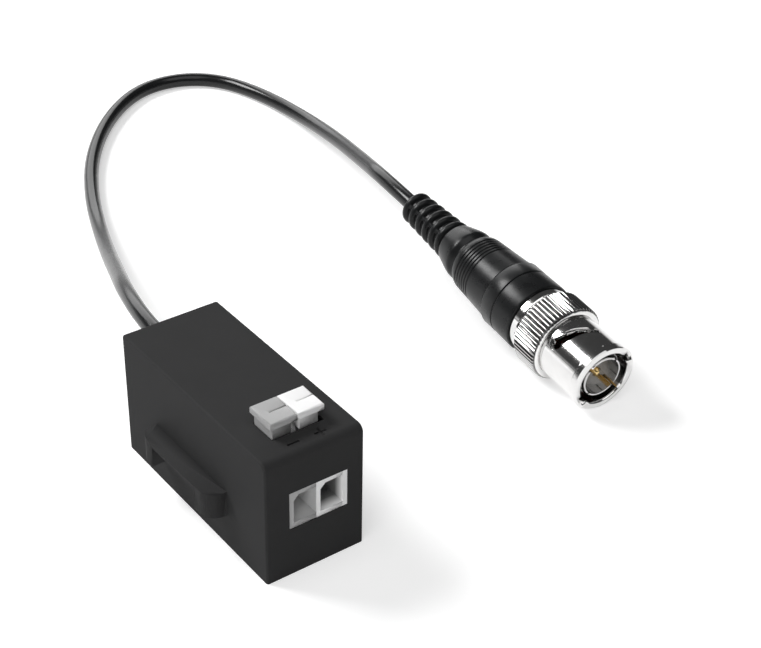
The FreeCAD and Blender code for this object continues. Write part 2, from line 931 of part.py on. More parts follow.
def plug_boot():
    """The moulded boot: ringed strain relief, bell, ribbed grip and end band, over the cable and body."""
    steps = []
    for index in range(relief_rings):
        middle = (index + 0.5) * relief_pitch
        rear = middle - relief_ring_width / 2
        front = middle + relief_ring_width / 2
        steps.append((relief_crest(rear) - relief_groove, rear))
        steps.append((relief_crest(middle), middle, relief_crest(front) - relief_groove, front))
    relief_end = relief_rings * relief_pitch
    steps.append((relief_crest(relief_end) - relief_groove, relief_end))
    steps.append((relief_crest(relief_end) + relief_end_step, relief_end + relief_end_slope))
    bell_curve = (bell_radius - bell_curve_rise, bell_station - bell_curve_length)
    neck_curve = (neck_radius + neck_curve_rise, neck_station + neck_curve_length)
    steps.append((*bell_curve, bell_radius, bell_station))
    steps.append((neck_radius, neck_station))
    steps.append((*neck_curve, grip_radius, grip_station))
    slope = (grip_front_radius - grip_radius) / (band_station - grip_station)
    for index in range(fine_groove_count):
        station = grip_station + fine_groove_start + index * fine_groove_pitch
        radius = grip_radius + slope * (station - grip_station)
        half = fine_groove_pitch / 4
        steps.append((radius, station - half))
        steps.append((radius - fine_groove_depth, station))
        steps.append((radius, station + half))
    steps.append((grip_front_radius, band_station - band_edge))
    steps.append((grip_front_radius - band_groove_depth, band_station))
    steps.append((band_radius, band_station + band_edge))
    steps.append((band_radius, band_groove_station - band_groove_depth))
    steps.append((band_radius - band_groove_depth, band_groove_station))
    steps.append((band_radius, band_groove_station + band_groove_depth))
    steps.append((band_front_radius, boot_length - boot_end_slope))
    steps.append((band_front_radius - boot_end_chamfer, boot_length))
    steps.append((shank_radius, boot_length))
    steps.append((shank_radius, boot_length - shank_length))
    steps.append((ferrule_radius, boot_length - shank_length))
    steps.append((ferrule_radius, neck_start - ferrule_overlap))
    steps.append((cable_radius + cable_fit, neck_start - ferrule_overlap))
    start = (cable_radius + cable_fit, 0)
    boot = turned(start, (relief_crest(0) - relief_groove, 0), *steps)
    webs = []
    for index in range(relief_rings - 1):
        station = (index + 1) * relief_pitch
        reach = relief_crest(station) - relief_web_inset
        half = relief_web_width / 2
        across = relief_pitch - relief_ring_width
        rear = station - across
        front = station + across
        if index % 2:
            web = block(-half, half, -reach, reach, rear, front)
        else:
            web = block(-reach, reach, -half, half, rear, front)
        webs.append(web.cut(rod(cable_radius + cable_fit, rear - overrun, front + overrun)))
    return fused([boot] + webs)


def plug_body():
    """The turned body: crimp neck, grooved shank, hub with its flange, and the seat of the outer contact."""
    shank_rear = boot_length - shank_length
    groove = shank_length / 5
    groove_radius = shank_radius - shank_groove
    body = turned(
        (core_radius + cable_fit, neck_start), (crimp_neck_radius, neck_start),
        (crimp_neck_radius, shank_rear), (shank_radius, shank_rear), (shank_radius, shank_rear + groove),
        (groove_radius, shank_rear + groove), (groove_radius, shank_rear + 2 * groove),
        (shank_radius, shank_rear + 2 * groove), (shank_radius, boot_length), (hub_radius, boot_length),
        (hub_radius, flange_rear), (flange_radius, flange_rear), (flange_radius, flange_front),
        (sleeve_bore - running_gap, flange_front), (sleeve_bore - running_gap, hub_front),
        (contact_seat_radius, hub_front),
        (contact_seat_radius, contact_rear), (insulator_tail_radius, contact_rear),
        (insulator_tail_radius, tail_rear),
        (core_radius + cable_fit, tail_rear),
    )
    return body


def rear_collar():
    """The plated collar between the boot and the sleeve."""
    front = boot_length + collar_length
    return turned(
        (hub_radius, boot_length), (collar_radius - collar_rear_chamfer, boot_length),
        (collar_radius, boot_length + collar_rear_chamfer), (collar_radius, front - collar_front_chamfer),
        (collar_radius - collar_front_chamfer, front), (hub_radius, front),
    )


def knurled_ring():
    """The knurled grip of the sleeve: V-shaped teeth with both ends chamfered."""
    rear = sleeve_rear
    front = sleeve_rear + knurl_length
    root = knurl_radius - knurl_depth
    corners = []
    for index in range(2 * knurl_teeth):
        angle = math.pi * index / knurl_teeth
        radius = root if index % 2 else knurl_radius
        corners.append((radius * math.cos(angle), radius * math.sin(angle)))
    teeth = prism(corners, front - rear, rear)
    envelope = turned(
        (0, rear), (knurl_radius - knurl_chamfer, rear), (knurl_radius, rear + knurl_chamfer),
        (knurl_radius, front - knurl_chamfer), (knurl_radius - knurl_chamfer, front), (0, front),
    )
    return teeth.common(envelope)


def bayonet_opening(grow):
    """The comet-shaped hole of a track: round at the detent, with a tail that narrows along the ramp."""
    half = bayonet_width / 2 + grow
    tip = bayonet_tip_width / 2 + grow
    middle = bayonet_tail_turn / 2
    reach = shell_radius * math.sin(math.radians(middle))
    near = sleeve_bore * math.cos(math.radians(middle)) - overrun
    tail_end = bayonet_end + bayonet_rise * bayonet_tail_turn / bayonet_turn
    corners = [
        V(near, reach, bayonet_end - half), V(near, reach, bayonet_end + half),
        V(near, -reach, tail_end + tip), V(near, -reach, tail_end - tip),
    ]
    tail = Part.Face(Part.makePolygon(corners + corners[:1])).extrude(V(rim_radius, 0, 0))
    tail.rotate(V(0, 0, 0), V(0, 0, 1), -middle)
    detent = Part.makeCylinder(half, rim_radius + overrun, V(0, 0, bayonet_end), V(1, 0, 0))
    return fused([tail, detent])


def bayonet_cut(turn):
    """One left-handed bayonet track: entry and ramp inside the shell, the comet-shaped hole and its lip."""
    pitch = bayonet_rise * 360 / bayonet_turn
    half = bayonet_width / 2
    slope = math.atan(pitch / (2 * math.pi * sleeve_bore))
    tall = half / math.cos(slope)
    track_radius = sleeve_bore + bayonet_entry_depth
    helix = Part.makeHelix(pitch, bayonet_rise, contact_radius, 0, True)
    corners = [
        V(contact_radius, 0, -tall), V(track_radius, 0, -tall), V(track_radius, 0, tall),
        V(contact_radius, 0, tall), V(contact_radius, 0, -tall),
    ]
    ramp = Part.Wire(helix.Edges).makePipeShell([Part.makePolygon(corners)], True, True)
    ramp.translate(V(0, 0, bayonet_end))
    top = Part.makeCylinder(half, track_radius, V(0, 0, bayonet_end + bayonet_rise), V(1, 0, 0))
    entry = block(0, track_radius, -half, half, bayonet_end + bayonet_rise, sleeve_front + overrun)
    for piece in (top, entry):
        piece.rotate(V(0, 0, 0), V(0, 0, 1), -bayonet_turn)
    lip_floor = rod(shell_radius - bayonet_lip_depth, sleeve_rear, sleeve_front)
    lip = bayonet_opening(bayonet_lip_width).cut(lip_floor)
    cut = fused([ramp, top, entry, bayonet_opening(0), lip])
    cut.rotate(V(0, 0, 0), V(0, 0, 1), turn)
    return cut


def coupling_sleeve():
    """The sleeve: knurled ring with the washer chamber, and the shell with its two bayonet tracks."""
    knurl_front = sleeve_rear + knurl_length
    shell_rear = sleeve_rear + knurl_chamfer
    shell = turned(
        (sleeve_bore, shell_rear), (shell_radius, shell_rear),
        (shell_radius, sleeve_front - rim_length - rim_slope), (rim_radius, sleeve_front - rim_length),
        (rim_radius, rim_contact), (rim_radius - rim_chamfer, sleeve_front),
        (sleeve_bore + mouth_chamfer, sleeve_front), (sleeve_bore, sleeve_front - mouth_chamfer),
    )
    sleeve = fused([knurled_ring(), shell])
    undercut = ring(
        shell_radius - undercut_depth, shell_radius + overrun, knurl_front, knurl_front + undercut_length
    )
    sleeve = sleeve.cut(rod(sleeve_bore, sleeve_rear - overrun, sleeve_front + overrun))
    sleeve = sleeve.cut(rod(chamber_radius, sleeve_rear - overrun, shoulder_station)).cut(undercut)
    for turn in (bayonet_phase, bayonet_phase + 180):
        sleeve = sleeve.cut(bayonet_cut(turn))
    return sleeve


def wave_washer():
    """The spring washer: a flat ring bent into waves."""
    inner = hub_radius + 2 * running_gap
    outer = flange_radius
    rise = (wave_height - wave_strip) / 2
    middle = (wave_rear + wave_front) / 2
    steps = wave_steps * wave_count
    pieces = []
    for index in range(steps):
        section = []
        for edge in (index, index + 1):
            angle = 2 * math.pi * edge / steps
            height = middle + rise * math.cos(wave_count * angle)
            corners = []
            for radius, lift in ((inner, -1), (outer, -1), (outer, 1), (inner, 1)):
                z = height + lift * wave_strip / 2
                corners.append(V(radius * math.cos(angle), radius * math.sin(angle), z))
            section.append(Part.makePolygon(corners + corners[:1]))
        pieces.append(Part.makeLoft(section, True, True))
    return fused(pieces)


def outer_contact():
    """The slotted inner barrel."""
    inner = contact_radius - contact_wall
    barrel = turned(
        (inner, contact_rear), (contact_seat_radius, contact_rear), (contact_seat_radius, gasket_front),
        (contact_radius, gasket_front), (contact_radius, contact_front - contact_tip_length),
        (contact_radius - contact_tip_chamfer, contact_front), (inner, contact_front),
    )
    half = contact_slot_width / 2
    for index in range(contact_slots // 2):
        slot = block(
            -2 * contact_radius, 2 * contact_radius, -half, half,
            contact_front - contact_slot_length, contact_front + overrun,
        )
        slot.rotate(V(0, 0, 0), V(0, 0, 1), 45 + index * 180 / (contact_slots / 2))
        barrel = barrel.cut(slot)
    return barrel


def plug_insulator():
    """The insulator inside the outer contact, with its tail in the body."""
    inner = contact_radius - contact_wall
    barrel_front = tail_rear + pin_barrel_length
    return turned(
        (pin_barrel_radius, tail_rear), (insulator_tail_radius, tail_rear),
        (insulator_tail_radius, contact_rear), (inner, contact_rear), (inner, insulator_face),
        (pin_shoulder_radius, insulator_face),
        (pin_shoulder_radius, barrel_front), (pin_barrel_radius, barrel_front),
    )


def center_pin():
    """The centre pin: barrel crimped on the conductor, and the pin with its rounded tip."""
    barrel_front = tail_rear + pin_barrel_length
    tip = contact_front - pin_front_inset
    return turned(
        (0, tail_rear), (pin_barrel_radius, tail_rear), (pin_barrel_radius, barrel_front),
        (pin_shoulder_radius, barrel_front), (pin_shoulder_radius, insulator_face),
        (pin_radius, insulator_face), (pin_radius, tip - pin_tip_length), (pin_radius * pin_tip_share, tip),
        (0, tip),
    )


def crimp_ferrule():
    """The ferrule over the cable's jacket and the crimp neck."""
    front = boot_length - shank_length
    rear = neck_start - ferrule_overlap
    return turned(
        (cable_radius + cable_fit, rear), (ferrule_radius, rear), (ferrule_radius, front),
        (crimp_neck_radius, front), (crimp_neck_radius, neck_start), (cable_radius + cable_fit, neck_start),
    )


def free_cable():
    """The free run of cable, from the grommet to the strain relief."""
    rear = plug_rear()
    points = [V(0, exit_y, cable_height)]
    points += [V(x, y, z) for x, y, z in cable_route]
    points.append(rear - plug_axis() * last_run)
    points.append(rear)
    return tube(points, cable_radius, "cable")


def main():
    os.makedirs("parts", exist_ok=True)
    save("housing_shell", housing_shell())
    save("bottom_cover", bottom_cover())
    save("pole_minus", pole(pole_lefts[0], False))
    save("pole_plus", pole(pole_lefts[1], True))
    save("terminal_end_plate", terminal_end_plate())
    for name, left in zip(("minus", "plus"), pole_lefts):
        save("button_" + name, button(left))
        save("clamp_spring_" + name, clamp_spring(left))
        save("contact_bar_" + name, contact_bar(left))
    save("circuit_board", circuit_board())
    save("ferrite_core", ferrite_core())
    save("winding_signal", winding(90))
    save("winding_line", winding(270))
    save("surge_arrester", surge_arrester())
    save("chip_capacitors", chips(chip_x, chip_y, chip_height))
    save("chip_resistors", chips(resistor_x, resistor_y, chip_height / 2))
    save("cable_grommet", cable_grommet())
    save("cable_tail", cable_tail())
    save("core_lead", lead(1, lead_radius))
    save("braid_lead", lead(-1, braid_lead_radius))
    save("cable", free_cable())
    save("plug_boot", placed(plug_boot()))
    save("cable_head", placed(ring(core_radius + cable_fit, cable_radius, 0, neck_start)))
    save("cable_core", placed(rod(core_radius, 0, tail_rear)))
    save("crimp_ferrule", placed(crimp_ferrule()))
    save("plug_body", placed(plug_body()))
    save("rear_collar", placed(rear_collar()))
    save("coupling_sleeve", placed(coupling_sleeve()))
    washer_bore = hub_radius + running_gap
    save("closing_ring", placed(ring(washer_bore, chamber_radius, sleeve_rear, closing_front)))
    save("thrust_washer", placed(ring(washer_bore, flange_radius, washer_rear, washer_front)))
    save("wave_washer", placed(wave_washer()))
    gasket_radius = sleeve_bore - gasket_side_gap
    save("mouth_gasket", placed(ring(contact_seat_radius, gasket_radius, hub_front, gasket_front)))
    save("outer_contact", placed(outer_contact()))
    save("plug_insulator", placed(plug_insulator()))
    save("center_pin", placed(center_pin()))


main()
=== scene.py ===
"""A passive video balun in a studio: a black housing with push buttons, a coax lead and a bayonet plug."""
import bmesh
import bpy
import json
import math
from mathutils import Matrix, Vector


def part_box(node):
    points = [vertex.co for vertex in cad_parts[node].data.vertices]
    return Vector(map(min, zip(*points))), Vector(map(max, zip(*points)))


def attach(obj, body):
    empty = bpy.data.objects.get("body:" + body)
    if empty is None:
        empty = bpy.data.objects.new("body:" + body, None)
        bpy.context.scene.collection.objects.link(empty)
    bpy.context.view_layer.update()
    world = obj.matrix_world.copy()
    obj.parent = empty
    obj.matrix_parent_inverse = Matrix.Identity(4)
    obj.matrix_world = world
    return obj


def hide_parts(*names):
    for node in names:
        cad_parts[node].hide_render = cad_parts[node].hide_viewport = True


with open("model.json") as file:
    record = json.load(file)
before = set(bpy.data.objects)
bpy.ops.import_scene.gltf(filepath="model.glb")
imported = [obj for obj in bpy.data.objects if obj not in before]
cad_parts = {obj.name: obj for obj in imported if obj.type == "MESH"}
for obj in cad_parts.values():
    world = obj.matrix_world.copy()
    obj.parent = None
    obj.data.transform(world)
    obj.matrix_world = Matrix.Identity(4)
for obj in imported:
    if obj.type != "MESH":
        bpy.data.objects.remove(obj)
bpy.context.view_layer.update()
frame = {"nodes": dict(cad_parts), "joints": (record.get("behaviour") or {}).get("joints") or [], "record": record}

bl_info = {
    "name": "Video Balun",
    "version": (1, 0, 0),
    "blender": (4, 5, 0),
    "location": "3D View > Sidebar > Balun",
    "description": "Models, finishes and lights a passive video balun with its lead and plug",
    "category": "Object",
}

MM = 0.001
WELD = 0.002 * MM
EDGE_ANGLE = 30

# Places read from the frame
joints = {joint["name"]: joint for joint in frame["joints"]}
mounts = {mount["name"]: mount for mount in frame["record"]["mounts"]}
plug_axis = Vector(joints["coupling_spin"]["axis"]).normalized()
plug_mouth = Vector(mounts["bayonet_coupling"]["pos_m"])
plug_turn = Vector((0, 0, 1)).rotation_difference(plug_axis)
mouth_place = Matrix.Translation(plug_mouth) @ plug_turn.to_matrix().to_4x4()
from_mouth = mouth_place.inverted()


def span(node):
    """A plug node's rear and front along the plug's axis, from the mouth, and its largest radius."""
    points = [from_mouth @ vertex.co for vertex in frame["nodes"][node].data.vertices]
    radius = max(point.xy.length for point in points)
    return min(point.z for point in points), max(point.z for point in points), radius


# Shader maths

class Value:
    """One number in a material, with arithmetic that adds Math nodes."""

    def __init__(self, tree, output):
        self.tree = tree
        self.output = output

    def math(self, operation, *others):
        node = self.tree.nodes.new("ShaderNodeMath")
        node.operation = operation
        for socket, value in zip(node.inputs, (self, *others)):
            connect(self.tree, value, socket)
        return Value(self.tree, node.outputs[0])

    def __add__(self, other):
        return self.math("ADD", other)

    def __sub__(self, other):
        return self.math("SUBTRACT", other)

    def __mul__(self, other):
        return self.math("MULTIPLY", other)

    def __truediv__(self, other):
        return self.math("DIVIDE", other)

    def __rsub__(self, other):
        return self.math("MULTIPLY_ADD", -1.0, other)

    __radd__ = __add__
    __rmul__ = __mul__

    def clamp(self):
        return self.math("MAXIMUM", 0.0).math("MINIMUM", 1.0)


def connect(tree, value, socket):
    """Puts a number, a colour or another socket's output into a socket."""
    if isinstance(value, Value):
        tree.links.new(value.output, socket)
    else:
        socket.default_value = value


def add_node(tree, kind, settings=None, inputs=None, output=0):
    """Adds a shader node, sets its own options first and then its sockets, and gives one of its outputs."""
    node = tree.nodes.new("ShaderNode" + kind)
    for name, value in (settings or {}).items():
        setattr(node, name, value)
    for name, value in (inputs or {}).items():
        connect(tree, value, node.inputs[name])
    return Value(tree, node.outputs[output])


def seen_rays(tree):
    """1 for the rays that show a background: straight from the camera, by reflection and through glass."""
    kinds = ("Is Camera Ray", "Is Glossy Ray", "Is Transmission Ray")
    camera, glossy, through = [add_node(tree, "LightPath", output=kind) for kind in kinds]
    return camera.math("MAXIMUM", glossy).math("MAXIMUM", through)


class Finish:
    """A material with a Principled shader."""

    def __init__(self, name, color, roughness, metallic=0.0, specular=0.5):
        self.material = bpy.data.materials.new(name)
        self.material.use_nodes = True
        self.tree = self.material.node_tree
        self.shader = self.tree.nodes["Principled BSDF"]
        self.color = (*color, 1.0)
        self.set("Base Color", self.color)
        self.set("Roughness", roughness)
        self.set("Metallic", metallic)
        self.set("Specular IOR Level", specular)
        self.material.diffuse_color = self.color

    def set(self, name, value):
        connect(self.tree, value, self.shader.inputs[name])

    def node(self, kind, settings=None, inputs=None, output=0):
        """Adds a node to the material."""
        return add_node(self.tree, kind, settings, inputs, output)

    def place(self):
        """The point on the piece, in metres."""
        return self.node("TexCoord", output="Object")

    def noise(self, size, detail=2.0):
        """Soft random values from 0 to 1 with features of about that size in metres."""
        return self.node("TexNoise", inputs={"Vector": self.place(), "Scale": 1 / size, "Detail": detail})

    def plug_place(self):
        """The point counted from the plug's mouth, with Z along its axis."""
        return self.node(
            "Mapping", {"vector_type": "TEXTURE"},
            {
                "Vector": self.place(), "Location": tuple(plug_mouth),
                "Rotation": tuple(plug_turn.to_euler()),
            },
        )

    def split(self, vector, axis):
        """One coordinate of a vector."""
        return self.node("SeparateXYZ", inputs={"Vector": vector}, output=axis)

    def mix(self, factor, first, second):
        """A colour between two."""
        return self.node("Mix", {"data_type": "RGBA"}, {0: factor, 6: first, 7: second}, output=2)

    def shades(self, pattern, darkest, lightest):
        """The finish's own colour, made darker and lighter by a pattern."""
        return self.mix(pattern, tint(self.color, darkest), tint(self.color, lightest))

    def sheen(self, roughness, *patterns):
        """Roughness that each pattern of values from 0 to 1 raises and lowers by half its share."""
        for pattern, share in patterns:
            roughness = (pattern - 0.5) * share + roughness
        self.set("Roughness", roughness)

    def bump(self, height, depth):
        """Relief of that depth in metres."""
        self.set("Normal", self.node("Bump", inputs={"Strength": 1.0, "Distance": depth, "Height": height}))

    def edges(self, radius, sharpness=6.0):
        """1 on the piece's outer edges, fading to 0 within about that radius."""
        rounded = self.node("Bevel", {"samples": 4}, {"Radius": radius})
        flat = self.node("NewGeometry", output="Normal")
        dot = self.node("VectorMath", {"operation": "DOT_PRODUCT"}, {0: rounded, 1: flat}, output="Value")
        return ((1.0 - dot) * sharpness).clamp()


def tint(color, amount):
    """A colour made lighter or darker."""
    return tuple(min(1.0, part * amount) for part in color[:3]) + (1.0,)


def moulded(name, color, roughness, grain, depth, edge_highlight=1.0, specular=0.5, painted_funnel_light=None):
    """Moulded plastic: fine grain, slow tone changes, a painted highlight on its edges, painted light and shade in
    wire funnels.
    """
    edge_width = 0.2 * MM
    edge_highlight_share = 0.5
    finish = Finish(name, color, roughness, specular=specular)
    cloud = finish.noise(size=6 * MM, detail=3.0)
    grains = finish.noise(grain)
    tone = finish.shades(cloud, darkest=0.9, lightest=1.1)
    # Painted highlight: the outer edges are lightened as if they caught the light.
    tone = finish.mix(finish.edges(edge_width) * edge_highlight_share, tone, tint(color, edge_highlight))
    # Painted light and shade: the tone turns lighter or darker deeper in the wire funnels, standing in for the
    # light that reaches them.
    if painted_funnel_light:
        front, deep, amount = painted_funnel_light
        painted_funnel_mask = ((finish.split(finish.place(), "Y") - front) / (deep - front)).clamp()
        tone = finish.mix(painted_funnel_mask, tone, tint(color, amount))
    finish.set("Base Color", tone)
    finish.sheen(roughness, (cloud, 0.12))
    finish.bump(grains, depth)
    return finish.material


def soft_rubber(name, color, roughness, specular=0.5):
    """Moulded flexible plastic: almost smooth, with a soft shine and faint flow marks."""
    finish = Finish(name, color, roughness, specular=specular)
    flow = finish.noise(size=3 * MM)
    dust = finish.noise(size=0.25 * MM, detail=3.0)
    finish.set("Base Color", finish.shades(flow, darkest=0.8, lightest=1.25))
    finish.sheen(roughness, (dust, 0.06), (flow, 0.16))
    finish.bump(dust, depth=0.004 * MM)
    return finish.material


def jacket(name, color, roughness, specular=0.5):
    """The extruded cable jacket: smooth and slightly wavy, with a satin shine."""
    finish = Finish(name, color, roughness, specular=specular)
    wave = finish.noise(size=2.5 * MM, detail=1.0)
    fine = finish.noise(size=0.2 * MM)
    fine_share = 0.2
    finish.set("Base Color", finish.shades(wave, darkest=0.85, lightest=1.15))
    finish.sheen(roughness, (wave, 0.1))
    finish.bump(wave * (1 - fine_share) + fine * fine_share, depth=0.012 * MM)
    return finish.material


def turned_metal(name, color, roughness, grooves=None):
    """Bright plating over turned metal: tool rings along the plug's axis, a little haze, and painted shade in
    knurl grooves.
    """
    ring_width = 0.08 * MM
    finish = Finish(name, color, roughness, metallic=1.0)
    place = finish.plug_place()
    rings = finish.node(
        "TexNoise", {"noise_dimensions": "1D"},
        {"W": finish.split(place, "Z"), "Scale": 1 / ring_width, "Detail": 3.0},
    )
    haze = finish.noise(size=1.5 * MM, detail=3.0)
    tone = finish.shades(haze, darkest=0.93, lightest=1.04)
    # Painted shade: the knurl's grooves are darkened by radius, where shade falls between the teeth.
    if grooves:
        crest_radius, depth = grooves
        fade = 0.2 * depth
        teeth_end = 1.3 * depth
        across = finish.split(place, "X")
        up = finish.split(place, "Y")
        radius = (across * across + up * up).math("SQRT")
        painted_groove_shade = ((crest_radius - radius) / depth).clamp()
        on_teeth = ((radius - crest_radius) / fade + teeth_end / fade).clamp()
        tone = finish.mix(painted_groove_shade * on_teeth, tone, tint(color, 0.08))
    finish.set("Base Color", tone)
    finish.sheen(roughness, (rings, 0.05), (haze, 0.08))
    finish.bump(rings, depth=0.00008 * MM)
    return finish.material


def plain_metal(name, color, roughness):
    """Rolled or drawn metal with fine scratches."""
    finish = Finish(name, color, roughness, metallic=1.0)
    scratches = finish.noise(size=0.12 * MM, detail=4.0)
    finish.set("Base Color", finish.shades(scratches, darkest=0.88, lightest=1.06))
    finish.sheen(roughness, (scratches, 0.15))
    finish.bump(scratches, depth=0.003 * MM)
    return finish.material


def speckled(name, color, roughness, grain):
    """Sintered or fired material: small grains of lighter and darker tone."""
    finish = Finish(name, color, roughness)
    grains = finish.noise(grain, detail=4.0)
    finish.set("Base Color", finish.shades(grains, darkest=0.7, lightest=1.35))
    finish.sheen(roughness, (grains, 0.2))
    finish.bump(grains, depth=0.01 * MM)
    return finish.material


# Modelling

def only(piece):
    """Selects one object and nothing else."""
    bpy.ops.object.select_all(action="DESELECT")
    piece.select_set(True)
    bpy.context.view_layer.objects.active = piece


def choose(piece, wanted):
    """In edit mode, selects just the vertices that a test on their place picks."""
    bpy.ops.mesh.select_all(action="DESELECT")
    mesh = bmesh.from_edit_mesh(piece.data)
    for vertex in mesh.verts:
        vertex.select = wanted(vertex.co)
    mesh.select_flush_mode()
    bmesh.update_edit_mesh(piece.data)


def lathe(name, outline, sides):
    """A piece turned about Z: a circle, extruded and resized through (radius, station) points."""
    radius, station = outline[0]
    bpy.ops.object.select_all(action="DESELECT")
    bpy.ops.mesh.primitive_circle_add(vertices=sides, radius=radius, location=(0, 0, station))
    piece = bpy.context.object
    piece.name = name
    bpy.ops.object.transform_apply(location=True, rotation=True, scale=True)
    bpy.ops.object.mode_set(mode="EDIT")
    bpy.ops.mesh.select_mode(type="VERT")
    bpy.ops.mesh.select_all(action="SELECT")
    for next_radius, next_station in outline[1:]:
        bpy.ops.mesh.extrude_edges_move(TRANSFORM_OT_translate={"value": (0, 0, next_station - station)})
        scale = next_radius / radius
        bpy.ops.transform.resize(value=(scale, scale, 1), center_override=(0, 0, next_station))
        radius, station = next_radius, next_station
    bpy.ops.mesh.select_all(action="SELECT")
    bpy.ops.mesh.remove_doubles(threshold=WELD)
    bpy.ops.mesh.normals_make_consistent(inside=False)
    bpy.ops.object.mode_set(mode="OBJECT")
    return piece


def pick_ring(piece, station, angles, half_angle):
    """In edit mode, selects a turned piece's vertices at one station that lie near any of the angles."""
    def wanted(place):
        if abs(place.z - station) > WELD:
            return False
        turn = math.degrees(math.atan2(place.y, place.x))
        return any(abs((turn - angle + 180) % 360 - 180) < half_angle for angle in angles)
    choose(piece, wanted)


def carve(piece, cutter):
    """Cuts one piece out of another and deletes the cutter."""
    difference = piece.modifiers.new("Carved", "BOOLEAN")
    difference.operation = "DIFFERENCE"
    difference.solver = "EXACT"
    difference.object = cutter
    apply_all(piece)
    only(cutter)
    bpy.ops.object.delete()


def apply_all(piece):
    """Applies a piece's modifiers in order."""
    only(piece)
    for modifier in list(piece.modifiers):
        bpy.ops.object.modifier_apply(modifier=modifier.name)


def smooth(piece, angle):
    """Shades curved faces smooth and keeps the edges that turn by more than the angle."""
    only(piece)
    bpy.ops.object.shade_smooth_by_angle(angle=math.radians(angle))


def flatten_large_faces(piece):
    """Lets large faces shade flat and only the small ones between them turn the light."""
    weighting = piece.modifiers.new("Weighted", "WEIGHTED_NORMAL")
    weighting.mode = "FACE_AREA_WITH_ANGLE"
    weighting.weight = 100
    weighting.keep_sharp = True
    apply_all(piece)


def round_about_plug(piece):
    """Shades the barrel faces that were turned about the plug's axis as the true round surface."""
    barrel_facing = 0.97
    mesh = piece.data
    to_plug = from_mouth.to_3x3()
    from_plug = mouth_place.to_3x3()
    normals = [corner.vector.copy() for corner in mesh.corner_normals]
    for face in mesh.polygons:
        normal = to_plug @ face.normal
        outwards = (from_mouth @ face.center) * Vector((1, 1, 0))
        facing = normal.dot(outwards.normalized())
        if abs(facing) < barrel_facing:
            continue
        for corner in face.loop_indices:
            place = from_mouth @ mesh.vertices[mesh.loops[corner].vertex_index].co
            away = Vector((place.x, place.y, 0)).normalized()
            normals[corner] = from_plug @ (away * math.copysign(1, facing))
    mesh.normals_split_custom_set(normals)


def body_of(name):
    """The CAD body that a node is in."""
    bodies = frame["record"]["behaviour"]["bodies"]
    return next(body for body, members in bodies.items() if name in members)


def slot_of(name):
    """The record's material slot of a node."""
    return next(part["material_slot"] for part in frame["record"]["subparts"] if part["node"] == name)


def settle(piece, place, material, node):
    """Puts a finished piece in place, with its place in its mesh, and lets it stand for a CAD node."""
    piece.matrix_world = place
    only(piece)
    bpy.ops.object.transform_apply(location=True, rotation=True, scale=True)
    piece.data.materials.clear()
    piece.data.materials.append(material)
    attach(piece, body_of(node))
    slot_of(node)
    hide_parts(node)


def smooth_copy(name, material, turned=False):
    """A copy of a CAD node with its triangles joined, so that its curved faces shade smooth."""
    piece = bpy.data.objects.new(name + "_finished", frame["nodes"][name].data.copy())
    bpy.context.scene.collection.objects.link(piece)
    only(piece)
    bpy.ops.object.mode_set(mode="EDIT")
    bpy.ops.mesh.select_all(action="SELECT")
    bpy.ops.mesh.remove_doubles(threshold=WELD)
    bpy.ops.object.mode_set(mode="OBJECT")
    smooth(piece, EDGE_ANGLE)
    flatten_large_faces(piece)
    if turned:
        round_about_plug(piece)
    settle(piece, Matrix.Identity(4), material, name)
    return piece


def dress(name, material):
    """Gives a CAD node a finish."""
    for slot in frame["nodes"][name].material_slots:
        slot.material = material


# What a user would change

class BalunHousingProperties(bpy.types.PropertyGroup):
    """The housing, its marks and its terminal."""
    black: bpy.props.FloatVectorProperty(
        name="Housing colour", description="Colour of the moulded housing", subtype="COLOR",
        default=(0.0345, 0.0345, 0.035), min=0, max=1,
    )
    grey: bpy.props.FloatVectorProperty(
        name="Minus colour", description="Colour of the minus pole and its button", subtype="COLOR",
        default=(0.40, 0.40, 0.40), min=0, max=1,
    )
    white: bpy.props.FloatVectorProperty(
        name="Plus colour", description="Colour of the plus pole, its button and the end plate",
        subtype="COLOR", default=(0.88, 0.88, 0.88), min=0, max=1,
    )
    # Painted light and shade: how deep the wire funnels' painted tone reaches.
    painted_funnel_depth: bpy.props.FloatProperty(
        name="Funnel depth", description="How far in the wire funnels reach their inner tone", unit="LENGTH",
        default=1.6 * MM, min=0.2 * MM,
    )
    mark_depth: bpy.props.FloatProperty(
        name="Mark depth", description="Depth of the marks in front of the buttons", unit="LENGTH",
        default=0.3 * MM, min=0,
    )
    mark_stroke: bpy.props.FloatProperty(
        name="Mark stroke", description="Width of a mark's strokes", unit="LENGTH",
        default=0.45 * MM, min=0,
    )
    mark_length: bpy.props.FloatProperty(
        name="Mark length", description="Length of a mark's strokes", unit="LENGTH",
        default=2.1 * MM, min=0,
    )
    mark_setback: bpy.props.FloatProperty(
        name="Mark setback", description="From the housing's front to the middle of the marks", unit="LENGTH",
        default=2.4 * MM, min=0,
    )


class BalunCableProperties(bpy.types.PropertyGroup):
    """The free cable."""
    diameter: bpy.props.FloatProperty(
        name="Diameter", description="Outside diameter of the jacket", unit="LENGTH",
        default=3 * MM, min=0.5 * MM,
    )
    black: bpy.props.FloatVectorProperty(
        name="Jacket colour", description="Colour of the jacket and the boot", subtype="COLOR",
        default=(0.010, 0.0105, 0.011), min=0, max=1,
    )


